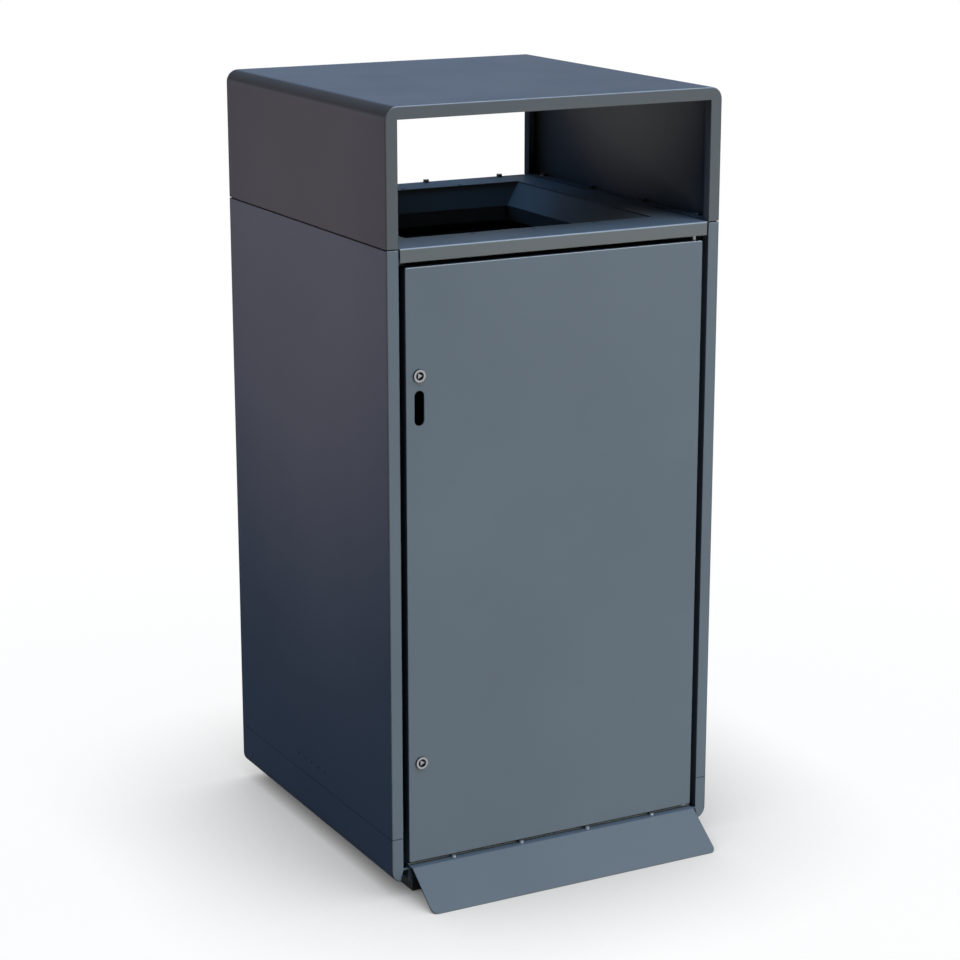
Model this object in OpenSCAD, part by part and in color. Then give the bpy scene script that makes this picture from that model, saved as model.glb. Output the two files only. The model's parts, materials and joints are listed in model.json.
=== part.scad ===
// Outdoor litter housing in folded sheet: a cabinet with a locked front door, an open hood
// over a funnel, and a two-wheeled container that rolls out over a ramp.
// Millimetres, +Z up, front towards -Y. The origin is on the ground under the cabinet's middle.

/* [Housing] */
// Outside width of the housing
body_w = 603; // [590:1:680]
// Outside depth of the housing, without the ramp
body_d = 617; // [612:1:700]
// Height of the base tray
tray_h = 76; // [64:0.5:100]
// Height of the side panels between base tray and deck
side_h = 963.5; // [950:0.5:1100]
// Height of the hood above the deck
hood_h = 217; // [160:1:300]
// Thickness of the housing's sheet
sheet_t = 2; // [1.5:0.1:2.5]
// Inside radius of the folds
fold_in = 0.5; // [0.3:0.1:1.5]
// Width of the rims folded round the front and the back
rim_w = 20.5; // [19:0.5:24]
// Depth of the returns folded inward from the rims
return_d = 17; // [14:0.5:19]

/* [Deck and funnel] */
// Width of the deck in front of the opening
deck_front = 86.5; // [60:0.5:110]
// Width of the deck behind the opening
deck_rear = 75; // [60:1:110]
// Width of the deck beside the opening
deck_side = 75.5; // [56:0.5:110]
// Height of the lip folded down from the deck's front edge
lip_h = 22; // [18:1:30]
// Gap between the ends of the lip and the rims
lip_gap = 3; // [1:0.5:5]
// Distance from the housing's outside to the deck's edge
deck_inset = 4; // [3:0.5:5]
// How far each funnel wall runs inward
funnel_in = 46; // [25:1:60]
// How far the funnel walls drop below the deck
funnel_drop = 32; // [20:1:50]
// Height of the upright collar under the funnel
collar_h = 25; // [15:1:28]
// Thickness of the funnel's sheet
funnel_t = 1.5; // [1:0.1:2.5]
// Width of the funnel's flange under the deck
funnel_flange = 18; // [14:1:24]

/* [Door] */
// Gap between the door and the rim on the lock side
gap_lock = 11.4; // [9:0.1:12]
// Gap between the door and the rim on the hinge side
gap_hinge = 11.4; // [9:0.1:13]
// Gap between the door and the deck's lip
gap_top = 8.4; // [6:0.1:12]
// Gap between the door and the floor plate
gap_low = 3.2; // [2.5:0.1:6]
// Depth of the door's folded edges
door_d = 20; // [18:0.5:21]
// Width of the lips folded inward behind the door
door_lip = 12; // [8:1:14]
// Radius of the corners of the door's outline
door_r = 3; // [2.6:0.1:6]
// Distance of the hinge axis from the door's edge and from its face
hinge_in = 10; // [9:0.5:11]
// Diameter of the hinge pins
pin_d = 7; // [5:0.5:8]
// Length of each hinge pin inside the door
pin_grip = 18; // [12:1:22]
// Radial clearance of pins, axles and spindles in their bores
run_gap = 0.05; // [0.03:0.01:0.09]
// Width of the finger slot
slot_w = 17; // [14:1:24]
// Height of the finger slot
slot_h = 56; // [40:1:80]
// Height of the finger slot's middle above the door's lower edge
slot_up = 757; // [400:1:760]

/* [Locks] */
// Distance of the locks and of the finger slot from the door's edge
lock_in = 22.9; // [22:0.1:26]
// Height of the lower lock above the door's lower edge
lock_low_up = 169.6; // [120:0.2:300]
// Height of the upper lock above the door's lower edge
lock_high_up = 808.8; // [802:0.2:880]
// Diameter of the lock's front flange
lock_flange_d = 21; // [20:0.5:28]
// Diameter of the lock's body
lock_body_d = 18; // [17:0.5:19]
// Diameter of the socket round the key spindle
socket_d = 13.5; // [11:0.5:14.5]
// How far the cam reaches from the lock's axis
cam_reach = 33; // [30:1:36]
// Thickness of the cam
cam_t = 3; // [2:0.5:4]

/* [Ramp and floor] */
// Height of the floor plate above the underside of the base tray
floor_h = 28.5; // [24:0.5:34]
// Slope of the ramp in degrees
ramp_angle = 35.5; // [30:0.5:40]
// How far the ramp's flange stands in front of the housing
ramp_out = 11.8; // [11:0.2:16]
// Gap between the ramp's ends and the rims
ramp_gap = 11; // [6:0.1:16]
// Thickness of the ramp
ramp_t = 2; // [1.5:0.1:3]
// Radius of the ramp's lower corners
ramp_r = 13; // [4:1:20]
// Number of screws in the ramp's flange
ramp_screws = 4; // [2:1:5]
// Distance between those screws
ramp_pitch = 126.8; // [60:0.2:128]

/* [Plinth] */
// Height of the plinth
plinth_h = 26.5; // [24:0.5:45]
// Distance of the plinth behind the housing's sides
plinth_side = 44.1; // [36:0.1:60]
// Distance of the plinth behind the housing's front and back
plinth_end = 15.2; // [12:0.2:30]
// Thickness of the plinth's steel
plinth_t = 3; // [2:0.5:5]
// Width of the plinth's flange under the tray
plinth_top = 16; // [14:1:20]
// Width of the plinth's flange on the ground
plinth_foot = 45; // [40:1:60]
// Distance of the anchor holes from the plinth's outside
anchor_in = 28; // [26:1:32]
// Diameter of the anchor holes
anchor_d = 12; // [10:0.5:14]
// Diameter of the holes above the anchors, for the tool
access_d = 22; // [18:1:24]

/* [Container] */
// Width of the container over its rim
can_w = 480; // [440:1:500]
// Depth of the container over its rim
can_d = 470; // [430:1:476]
// Height of the container
can_h = 925; // [850:1:930]
// Width of the container's bottom
can_base_w = 364; // [330:1:370]
// Depth of the container's bottom
can_base_d = 380; // [330:1:400]
// Thickness of the container's walls
can_t = 4; // [3:0.5:6]
// Radius of the container's upright corners
can_r = 40; // [25:1:60]
// Diameter of the container's wheels
wheel_d = 200; // [160:2:210]
// Width of the container's wheels
wheel_w = 40; // [30:1:42]
// Diameter of the container's axle
axle_d = 20; // [14:1:24]
// Diameter of the container's handle bar
bar_d = 25; // [20:1:30]
// Length of the handle bar between its lugs
bar_l = 300; // [200:1:340]

/* [Fasteners] */
// Thread diameter of the deck, tray and plinth bolts
bolt_d = 6; // [5:0.5:7]
// Width across the flats of their heads and nuts
bolt_af = 10; // [9:0.5:11]
// Distance of the deck's bolts from the housing's outside
bolt_in = 10; // [9.5:0.1:10.5]
// Distance of the first side bolts from the front and the back
bolt_end = 52; // [40:1:80]
// Distance of the first rear bolts from the sides
rear_bolt_end = 78; // [60:1:100]
// Bolts in each row along the deck's sides and back
row_n = 4; // [2:1:6]
// Shank diameter of screws and rivets
rivet_d = 4; // [3:0.2:4.8]

/* [Hidden] */

// Colours as the object shows them
coat = [0.37, 0.41, 0.45];
coat_dark = [0.08, 0.08, 0.09];
zinc = [0.75, 0.77, 0.78];
rubber = [0.05, 0.05, 0.05];
container_green = [0.13, 0.15, 0.16];

// Facets of true round surfaces and of hulled ones
$fn = 48;
hull_fn = 32;
// Small overlap that lets a cut pass right through a face
cut = 1;
// Gap between seats that don't touch
seat = 0.3;

// The housing's limits, and its levels from the ground up
x_side = body_w / 2;
y_front = -body_d / 2;
y_back = body_d / 2;
z_tray = plinth_h;
z_tray_top = z_tray + tray_h;
z_deck = z_tray_top + side_h;
z_deck_top = z_deck + sheet_t;
z_top = z_deck_top + hood_h;
z_floor = z_tray + floor_h;
fold_r = sheet_t + fold_in;
x_rim = x_side - rim_w;

// The deck's opening and the funnel's throat, both centred on opening_y
opening_w = body_w - 2 * deck_side;
opening_d = body_d - deck_front - deck_rear;
opening_y = (deck_front - deck_rear) / 2;
throat_w = opening_w - 2 * funnel_in;
throat_d = opening_d - 2 * funnel_in;
funnel_wall = funnel_t / sin(atan2(funnel_drop, funnel_in));

// The door's outline and hinge axis
door_left = -x_rim + gap_lock;
door_right = x_rim - gap_hinge;
door_w = door_right - door_left;
door_x = (door_left + door_right) / 2;
door_low = z_floor + gap_low;
door_high = z_deck_top - lip_h - gap_top;
door_h = door_high - door_low;
door_back = y_front + door_d;
hinge_x = door_right - hinge_in;
hinge_y = y_front + hinge_in;
block_h = pin_grip + 4;
block_w = 22;

// The stop rail that the lock cams turn behind, with its buffers at shares of the door's height
stop_gap = 2;
rail_y = door_back + stop_gap;
rail_tip = 19;
rail_back = rail_y + sheet_t;
rail_x = -x_rim - 2 * sheet_t;
rail_end_gap = 1;
rail_z0 = z_tray_top + sheet_t + rail_end_gap;
rail_h = side_h - 2 * sheet_t - 2 * rail_end_gap;
rail_rivet_y = y_front + 0.6 * return_d;
buffer_d = 9;
buffer_t = stop_gap - seat;
buffer_shares = [0.08, 0.5, 0.94];

// The door's hinge bracket, pin heads and stiffener
bracket_w = 30;
bracket_d = 30;
bracket_t = 3;
bracket_z = z_deck_top - lip_h + seat;
pin_head_d = pin_d + 5;
pin_head_h = 4;
pin_hole_gap = 1;
stiffener_w = 50;
stiffener_foot = 20;

// The locks' axes and their parts along Y, counted from the door's face
lock_x = door_left + lock_in;
lock_z_low = door_low + lock_low_up;
lock_z_high = door_low + lock_high_up;
lock_flange_t = 3;
socket_depth = 6;
lock_body_end = door_d + 2;
cam_gap = 0.6;
cam_y = door_d + stop_gap + sheet_t + cam_gap;
cam_w = 16;
nut_t = 4;
lock_nut_af = 24;
shaft_d = 10;
key_r = 4.9;
key_disc_t = 2;
key_disc_gap = 0.1;
square_w = 7;
cam_screw_d = 4;
cam_screw_l = 7;
cam_head_d = 10;
cam_head_h = 3;

// The ramp: its bend, its slope and its ends
ramp_w = 2 * (x_rim - ramp_gap);
floor_in = 3.9;
floor_front = y_front + floor_in;
floor_w = ramp_w;
lip_z = z_floor - sheet_t - ramp_t;
lip_y = y_front - ramp_out + ramp_t + cut;
bend_y = y_front - ramp_out;
bend_z = lip_z + ramp_t;
ramp_l = bend_z / sin(ramp_angle);
floor_back = y_back - rim_w;
ledge_z = z_floor - 6;
ledge_d = 5.3;
notch_in = 5.6;
notch_x = hinge_x + pin_d;
ramp_screw_y = (bend_y + floor_front) / 2;
ramp_head_d = 7;
ramp_head_h = 4;
ramp_thread = 3;

// The plinth and its holes
plinth_w = body_w - 2 * plinth_side;
plinth_d = body_d - 2 * plinth_end;
anchor_x = plinth_w / 2 - anchor_in;
anchor_y = plinth_d / 2 - anchor_in;
plinth_bolt_x = plinth_w / 2 - plinth_t - (plinth_top - plinth_t) / 2;
plinth_bolt_y = plinth_d / 4;

// Bolt heads, nuts and rows
head_h = 4;
washer_t = 1;
washer_d = bolt_af + 1.6;
nut_h = 5;
hole_gap = 0.3;
row_x = x_side - bolt_in;
row_y0 = y_front + bolt_end;
row_step = (body_d - 2 * bolt_end) / (row_n - 1);
rear_row_x0 = -x_side + rear_bolt_end;
rear_row_step = (body_w - 2 * rear_bolt_end) / (row_n - 1);
rear_row_y = y_back - bolt_in;
rivet_head_d = 1.7 * rivet_d;
rivet_head_h = 1;
thread_end = 1;
screw_end = 4;
screw_head_h = 2.5;
rail_rivets = 5;
rivets_per_side = 3;
panel_screws = 4;
vent_holes = 5;
vent_d = 5;
vent_pitch = 26.7;
vent_up = 27.5;
vent_mid = 2;

// The container: its place, its walls, its wheels and its handle
can_back = y_back - return_d - 8;
can_front = can_back - can_d;
can_y = (can_front + can_back) / 2;
can_rim_h = 25;
can_rim_out = 8;
can_foot = 8;
can_top = z_floor + can_h;
can_base_in = 38;
can_base_back = can_back - can_base_in;
can_base_y = can_base_back - can_base_d / 2;
wheel_r = wheel_d / 2;
axle_z = z_floor + wheel_r + seat;
axle_out = 26;
axle_y = can_base_back - can_base_d - axle_out;
wheel_x0 = can_base_w / 2 + 16;
axle_end = 6;
axle_l = 2 * (wheel_x0 + wheel_w + axle_end);
tunnel_h = axle_d + 16;
tunnel_x = wheel_x0 - 2;
can_foot_w = 60;
can_foot_d = 40;
can_foot_in = 20;
bar_out = 42;
bar_y = can_front - bar_out;
bar_z = can_top - 20;
lug_t = 12;
lug_wall = 6;
lug_h = bar_d + 2 * lug_wall;
cap_d = axle_d + 14;
cap_t = 8;
tyre_h = 18;
tyre_r = 4;
tyre_step = 2;
hub_wall = 10;
web_t = 8;

// A box from its lowest to its highest corner
module block(low, high) {
    translate(low) cube(high - low);
}

// A rectangle with round corners, centred, in the drawing plane
module round_rect(w, h, r) {
    square([w - 2 * r, h], center = true);
    square([w, h - 2 * r], center = true);
    for (sx = [-1, 1], sy = [-1, 1]) translate([sx * (w / 2 - r), sy * (h / 2 - r)]) circle(r);
}

// Extrudes a front view, drawn with x across and y up, from y0 back to y1
module upright(y0, y1) {
    translate([0, y1, 0]) rotate([90, 0, 0]) linear_extrude(y1 - y0) children();
}

// A cylinder along Y from y0 to y1
module pin_y(r, y0, y1) {
    translate([0, y1, 0]) rotate([90, 0, 0]) cylinder(r = r, h = y1 - y0);
}

// A cylinder along X from x0 to x1
module pin_x(r, x0, x1) {
    translate([x0, 0, 0]) rotate([0, 90, 0]) cylinder(r = r, h = x1 - x0);
}

// Hexagon with the given width across its flats
module hexagon(af) {
    circle(d = af / cos(30), $fn = 6);
}

// Places its children once at each corner of a rectangle
module at_corners(x, y) {
    for (sx = [-1, 1], sy = [-1, 1]) translate([sx * x, sy * y, 0]) children();
}

// Places its children at every bolt along the deck's two sides
module at_side_rows() {
    for (sx = [-1, 1], i = [0 : row_n - 1]) translate([sx * row_x, row_y0 + i * row_step, 0]) children();
}

// Places its children at every bolt along the deck's back
module at_rear_row() {
    for (i = [0 : row_n - 1]) translate([rear_row_x0 + i * rear_row_step, rear_row_y, 0]) children();
}

// Places its children at every rivet round the deck's opening
module at_funnel_rivets() {
    for (i = [1 : rivets_per_side]) {
        f = i / (rivets_per_side + 1) - 0.5;
        for (s = [-1, 1]) {
            translate([f * opening_w, opening_y + s * (opening_d + funnel_flange) / 2, 0]) children();
            translate([s * (opening_w + funnel_flange) / 2, opening_y + f * opening_d, 0]) children();
        }
    }
}

// A rectangle from x = 0 to w, centred in y, with its two corners at x = 0 rounded
module fold_rect(w, d, r) {
    difference() {
        translate([0, -d / 2]) square([w, d]);
        for (s = [0, 1]) mirror([0, s]) translate([-cut, d / 2 - r]) square(r + cut);
    }
    for (s = [-1, 1]) translate([r, s * (d / 2 - r)]) circle(r);
}

// Section of the folded wall: x runs inward from the outside face and y along the depth.
// The wall, the two rims and their returns are one folded strip.
module rim_profile() {
    difference() {
        fold_rect(rim_w, body_d, fold_r);
        translate([sheet_t, 0]) fold_rect(rim_w - 2 * sheet_t, body_d - 2 * sheet_t, fold_in);
        translate([rim_w / 2, -body_d / 2 + return_d]) square([rim_w, body_d - 2 * return_d]);
    }
}

// The folded section standing as the left wall, from z up by h
module rim_wall(z, h) {
    translate([-x_side, 0, z]) linear_extrude(h) rim_profile();
}

// The folded section swept round the left upper corner, with its centre at height z
module rim_corner(z) {
    translate([-x_rim, 0, z]) mirror([1, 0, 0]) rotate([90, 0, 0]) rotate_extrude(angle = 90)
        translate([rim_w, 0]) mirror([1, 0]) rim_profile();
}

// A flange inside the left wall, from z up by the sheet's thickness
module wall_flange(z) {
    block([-x_side + sheet_t / 2, y_front + sheet_t / 2, z],
        [-x_rim, y_back - sheet_t / 2, z + sheet_t]);
}

// Holes for the deck's side bolts, from z up by h
module side_row_holes(z, h) {
    at_side_rows() translate([0, 0, z]) cylinder(d = bolt_d + 2 * hole_gap, h = h);
}

// Hood: the folded section swept up one side, over the top and down the other
module hood() {
    color(coat) difference() {
        union() {
            for (s = [0, 1]) mirror([s, 0, 0]) {
                rim_wall(z_deck_top, hood_h - rim_w);
                rim_corner(z_top - rim_w);
                wall_flange(z_deck_top);
            }
            translate([-x_rim, 0, z_top]) rotate([0, 90, 0]) linear_extrude(2 * x_rim) rim_profile();
        }
        side_row_holes(z_deck_top - cut, sheet_t + 2 * cut);
    }
}

// Deck: a plate with a square opening and a lip folded down between the front rims
module deck_plate() {
    lip_x = x_rim - lip_gap;
    color(coat) difference() {
        union() {
            block([-x_side + deck_inset, y_front + deck_inset, z_deck],
                [x_side - deck_inset, y_back - deck_inset, z_deck_top]);
            translate([-lip_x, y_front, z_deck_top]) rotate([90, 0, 90]) linear_extrude(2 * lip_x)
                difference() {
                    union() {
                        translate([0, -lip_h]) square([sheet_t, lip_h - fold_r]);
                        translate([fold_r, -sheet_t]) square([deck_inset, sheet_t]);
                        translate([fold_r, -fold_r]) intersection() {
                            circle(fold_r);
                            translate([-fold_r, 0]) square(fold_r);
                        }
                    }
                    translate([fold_r, -fold_r]) circle(fold_in);
                }
        }
        translate([0, opening_y, z_deck - cut])
            linear_extrude(sheet_t + 2 * cut) square([opening_w, opening_d], center = true);
        side_row_holes(z_deck - cut, sheet_t + 2 * cut);
        at_rear_row() translate([0, 0, z_deck - cut])
            cylinder(d = bolt_d + 2 * hole_gap, h = sheet_t + 2 * cut);
        at_funnel_rivets() translate([0, 0, z_deck - cut])
            cylinder(d = rivet_d + 2 * run_gap, h = sheet_t + 2 * cut);
    }
}

// Funnel: flange under the deck, four sloping walls, and an upright collar round the throat
module funnel_chute() {
    z_throat = z_deck - funnel_drop;
    outer_w = throat_w + 2 * funnel_wall;
    outer_d = throat_d + 2 * funnel_wall;
    color(coat) difference() {
        union() {
            translate([0, opening_y, z_deck - funnel_t]) linear_extrude(funnel_t)
                square([opening_w + 2 * funnel_flange, opening_d + 2 * funnel_flange], center = true);
            translate([0, opening_y, z_throat]) linear_extrude(funnel_drop - funnel_t / 2, slices = 1,
                scale = [(outer_w + 2 * funnel_in) / outer_w, (outer_d + 2 * funnel_in) / outer_d])
                square([outer_w, outer_d], center = true);
            translate([0, opening_y, z_throat - collar_h]) linear_extrude(collar_h + cut)
                square([throat_w + 2 * funnel_t, throat_d + 2 * funnel_t], center = true);
        }
        translate([0, opening_y, z_throat]) linear_extrude(funnel_drop, slices = 1,
            scale = [opening_w / throat_w, opening_d / throat_d])
            square([throat_w, throat_d], center = true);
        translate([0, opening_y, z_throat - collar_h - cut]) linear_extrude(collar_h + 2 * cut)
            square([throat_w, throat_d], center = true);
        translate([0, opening_y, z_deck - cut / 100]) linear_extrude(cut)
            square([opening_w, opening_d], center = true);
        at_funnel_rivets() translate([0, 0, z_deck - funnel_t - cut])
            cylinder(d = rivet_d + 2 * run_gap, h = funnel_t + 2 * cut);
    }
}

// Side panel, drawn at the left: the folded wall with a flange at its top and its bottom
module side_panel() {
    difference() {
        union() {
            rim_wall(z_tray_top, side_h);
            wall_flange(z_tray_top);
            wall_flange(z_deck - sheet_t);
        }
        side_row_holes(z_tray_top - cut, side_h + 2 * cut);
        rear_screw_holes();
    }
}

// Holes across the left rear return and the rear panel's edge, for its screws
module rear_screw_holes() {
    at_panel_screws() pin_x(rivet_d / 2 + run_gap, -2 * sheet_t, 2 * sheet_t);
}

// Places its children, drawn along X, at each screw of the rear panel's left edge
module at_panel_screws() {
    for (i = [0 : panel_screws - 1])
        translate([-x_rim, y_back - return_d / 2 - sheet_t / 2,
            z_tray_top + side_h * (i + 0.5) / panel_screws]) children();
}

// Places its children, drawn along X, at each rivet of the stop rail
module at_rail_rivets() {
    for (i = [0 : rail_rivets - 1])
        translate([-x_rim, rail_rivet_y, rail_z0 + rail_h * (i + 0.5) / rail_rivets]) children();
}

// Holes across the left front return, for the rivets of the stop rail
module rail_rivet_holes() {
    at_rail_rivets() pin_x(rivet_d / 2 + run_gap, -2 * sheet_t - cut, cut);
}

module left_side_panel() {
    color(coat) difference() {
        side_panel();
        rail_rivet_holes();
        for (i = [0 : vent_holes - 1])
            translate([-x_side - cut, vent_mid + (i - (vent_holes - 1) / 2) * vent_pitch,
                z_tray_top + vent_up]) pin_x(vent_d / 2, 0, sheet_t + 2 * cut);
    }
}

module right_side_panel() {
    color(coat) mirror([1, 0, 0]) side_panel();
}

// Rear panel: a pan between the rear rims, flush with them
module rear_panel() {
    color(coat) difference() {
        block([-x_rim, y_back - return_d, z_tray_top], [x_rim, y_back, z_deck]);
        block([-x_rim + sheet_t, y_back - return_d - cut, z_tray_top + sheet_t],
            [x_rim - sheet_t, y_back - sheet_t, z_deck - sheet_t]);
        at_rear_row() translate([0, 0, z_deck - sheet_t - cut])
            cylinder(d = bolt_d + 2 * hole_gap, h = sheet_t + 2 * cut);
        for (s = [0, 1]) mirror([s, 0, 0]) rear_screw_holes();
    }
}

// Base tray: the folded section down both sides and round the lower corners, a flat bottom,
// a back wall, and a notch in each front corner with a short ledge above it, beside the ramp
module base_tray() {
    x_in = x_rim + cut;
    color(coat) difference() {
        union() {
            for (s = [0, 1]) mirror([s, 0, 0]) {
                rim_wall(z_tray + rim_w, tray_h - rim_w);
                translate([0, 0, z_tray + rim_w]) mirror([0, 0, 1]) rim_corner(0);
                wall_flange(z_tray_top - sheet_t);
                block([-x_in, y_front, ledge_z - sheet_t],
                    [-x_rim + ramp_gap - seat, y_front + ledge_d, ledge_z]);
            }
            block([-x_in, floor_front - seat, z_tray], [x_in, y_back, z_tray + sheet_t]);
            block([-x_in, y_back - sheet_t, z_tray], [x_in, y_back, z_tray_top]);
            block([-x_in, y_back - return_d, z_tray_top - sheet_t], [x_in, y_back, z_tray_top]);
        }
        for (s = [0, 1]) mirror([s, 0, 0]) upright(y_front - cut, y_front + return_d)
            polygon([[-x_rim, z_tray + rim_w], [-x_rim - notch_in, z_tray], [-x_rim - notch_in, z_tray - cut],
                [-notch_x, z_tray - cut], [-notch_x, ledge_z - sheet_t], [-x_rim, ledge_z - sheet_t]]);
        side_row_holes(z_tray_top - sheet_t - cut, sheet_t + 2 * cut);
        at_corners(anchor_x, anchor_y) translate([0, 0, z_tray - cut])
            cylinder(d = access_d, h = sheet_t + 2 * cut);
        at_corners(plinth_bolt_x, plinth_bolt_y) translate([0, 0, z_tray - cut])
            cylinder(d = bolt_d + 2 * hole_gap, h = sheet_t + 2 * cut);
        translate([hinge_x, hinge_y, z_tray - cut])
            cylinder(d = pin_d + 2 * run_gap, h = sheet_t + 2 * cut);
    }
}

// Floor plate: a shallow pan upside down, which the container stands on, with a lip for the ramp
module floor_plate() {
    color(coat) difference() {
        union() {
            block([-floor_w / 2, floor_front, z_tray + sheet_t], [floor_w / 2, floor_back, z_floor]);
            block([-floor_w / 2, lip_y, lip_z - sheet_t], [floor_w / 2, floor_front + sheet_t, lip_z]);
        }
        block([-floor_w / 2 + sheet_t, floor_front + sheet_t, z_tray],
            [floor_w / 2 - sheet_t, floor_back - sheet_t, z_floor - sheet_t]);
        at_corners(anchor_x, anchor_y) translate([0, 0, z_tray])
            cylinder(d = access_d, h = floor_h + cut);
        at_ramp_screws() translate([0, 0, -ramp_t - sheet_t - cut])
            cylinder(d = rivet_d + 2 * run_gap, h = ramp_t + sheet_t + cut);
        translate([hinge_x, hinge_y, z_tray]) cylinder(d = pin_d + 2 * run_gap, h = floor_h + cut);
    }
}

// Places its children, drawn up from the flange's face, at each screw of the ramp
module at_ramp_screws() {
    for (i = [0 : ramp_screws - 1])
        translate([(i - (ramp_screws - 1) / 2) * ramp_pitch, ramp_screw_y, bend_z]) children();
}

// Ramp: a flange screwed down on the floor plate's lip, and a sloping plate down to the ground
module ramp_plate() {
    color(coat) difference() {
        union() {
            block([-ramp_w / 2, bend_y, lip_z], [ramp_w / 2, floor_front - seat, bend_z]);
            translate([0, bend_y, bend_z]) rotate([ramp_angle, 0, 0])
                translate([0, 0, -ramp_t]) linear_extrude(ramp_t) ramp_outline();
        }
        at_ramp_screws() translate([0, 0, -ramp_t - cut])
            cylinder(d = rivet_d + 2 * run_gap, h = ramp_t + 2 * cut);
        block([-body_w, -2 * body_d, -plinth_h], [body_w, body_d, seat]);
    }
}

// The sloping plate's outline: square at the bend, round at its lower corners
module ramp_outline() {
    translate([-ramp_w / 2, -ramp_l + ramp_r]) square([ramp_w, ramp_l - ramp_r]);
    translate([-ramp_w / 2 + ramp_r, -ramp_l]) square([ramp_w - 2 * ramp_r, 2 * ramp_r]);
    for (s = [-1, 1]) translate([s * (ramp_w / 2 - ramp_r), -ramp_l + ramp_r]) circle(ramp_r);
}

// Plinth: a recessed frame with a flange under the tray and a wider one on the ground
module plinth_frame() {
    color(coat_dark) difference() {
        block([-plinth_w / 2, -plinth_d / 2, 0], [plinth_w / 2, plinth_d / 2, z_tray]);
        block([-plinth_w / 2 + plinth_t, -plinth_d / 2 + plinth_t, plinth_t],
            [plinth_w / 2 - plinth_t, plinth_d / 2 - plinth_t, z_tray - plinth_t]);
        block([-plinth_w / 2 + plinth_foot, -plinth_d / 2 + plinth_foot, -cut],
            [plinth_w / 2 - plinth_foot, plinth_d / 2 - plinth_foot, z_tray / 2]);
        block([-plinth_w / 2 + plinth_top, -plinth_d / 2 + plinth_top, z_tray / 2],
            [plinth_w / 2 - plinth_top, plinth_d / 2 - plinth_top, z_tray + cut]);
        at_corners(anchor_x, anchor_y) translate([0, 0, -cut]) cylinder(d = anchor_d, h = plinth_t + 2 * cut);
        at_corners(plinth_bolt_x, plinth_bolt_y) translate([0, 0, z_tray - plinth_t - cut])
            cylinder(d = bolt_d + 2 * hole_gap, h = plinth_t + 2 * cut);
    }
}

// Stop rail: an angle riveted inside the left front return, which the cams turn behind
module door_stop_rail() {
    color(coat) difference() {
        union() {
            block([rail_x, y_front + 2 * sheet_t, rail_z0], [rail_x + sheet_t, rail_back, rail_z0 + rail_h]);
            block([rail_x, rail_y, rail_z0], [-x_rim + rail_tip, rail_back, rail_z0 + rail_h]);
        }
        rail_rivet_holes();
    }
}

// Rubber buffers on the stop rail, behind the door's lip
module door_buffers() {
    color(rubber) for (f = buffer_shares)
        translate([-x_rim + rail_tip - buffer_d / 2, 0, door_low + f * door_h])
            pin_y(buffer_d / 2, rail_y - buffer_t, rail_y);
}

// Rivets of the stop rail, each with a head on both sides
module stop_rail_rivets() {
    color(zinc) at_rail_rivets() {
        pin_x(rivet_d / 2, -2 * sheet_t, 0);
        pin_x(rivet_head_d / 2, 0, rivet_head_h);
        pin_x(rivet_head_d / 2, -2 * sheet_t - rivet_head_h, -2 * sheet_t);
    }
}

// Hinge bracket under the deck, behind its lip: three plates folded in a C
module upper_hinge_bracket() {
    x0 = hinge_x - bracket_w / 2;
    x1 = hinge_x + bracket_w / 2;
    y0 = y_front + 2 * sheet_t;
    y1 = y0 + bracket_d;
    color(coat) difference() {
        block([x0, y0, bracket_z], [x1, y1, z_deck]);
        block([x0 - cut, y0 - cut, bracket_z + bracket_t], [x1 + cut, y1 - bracket_t, z_deck - bracket_t]);
        translate([hinge_x, hinge_y, bracket_z - cut])
            cylinder(d = pin_d + 2 * run_gap, h = bracket_t + 2 * cut);
    }
}

// Upper hinge pin: its head rests on the bracket, and it hangs down into the door
module upper_hinge_pin() {
    z_head = bracket_z + bracket_t;
    color(zinc) translate([hinge_x, hinge_y, 0]) {
        translate([0, 0, door_high - pin_grip]) cylinder(d = pin_d, h = z_head - door_high + pin_grip);
        translate([0, 0, z_head]) cylinder(d = pin_head_d, h = pin_head_h);
    }
}

// Lower hinge pin: it stands in the tray and the floor plate, and reaches up into the door
module lower_hinge_pin() {
    color(zinc) translate([hinge_x, hinge_y, z_tray])
        cylinder(d = pin_d, h = door_low + pin_grip - z_tray);
}

// Washer on the floor plate that carries the door
module thrust_washer() {
    color(zinc) translate([hinge_x, hinge_y, z_floor]) difference() {
        cylinder(d = 2 * pin_d, h = gap_low - seat);
        translate([0, 0, -cut]) cylinder(d = pin_d + 2 * run_gap, h = gap_low + cut);
    }
}

// Bolt pointing down from its seat at the origin, with the given grip below it
module bolt(grip) {
    cylinder(d = washer_d, h = washer_t);
    translate([0, 0, washer_t]) linear_extrude(head_h) hexagon(bolt_af);
    translate([0, 0, -grip]) cylinder(d = bolt_d, h = grip + washer_t);
}

// Nut hanging below its seat at the origin
module nut() {
    translate([0, 0, -nut_h]) linear_extrude(nut_h) difference() {
        hexagon(bolt_af);
        circle(d = bolt_d + 2 * run_gap);
    }
}

module hood_bolts() {
    color(coat_dark) at_side_rows()
        translate([0, 0, z_deck_top + sheet_t]) bolt(3 * sheet_t + nut_h + thread_end);
}

module hood_nuts() {
    color(zinc) at_side_rows() translate([0, 0, z_deck - sheet_t]) nut();
}

module deck_rear_bolts() {
    color(coat_dark) at_rear_row() translate([0, 0, z_deck_top]) bolt(2 * sheet_t + nut_h + thread_end);
}

module deck_rear_nuts() {
    color(zinc) at_rear_row() translate([0, 0, z_deck - sheet_t]) nut();
}

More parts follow.
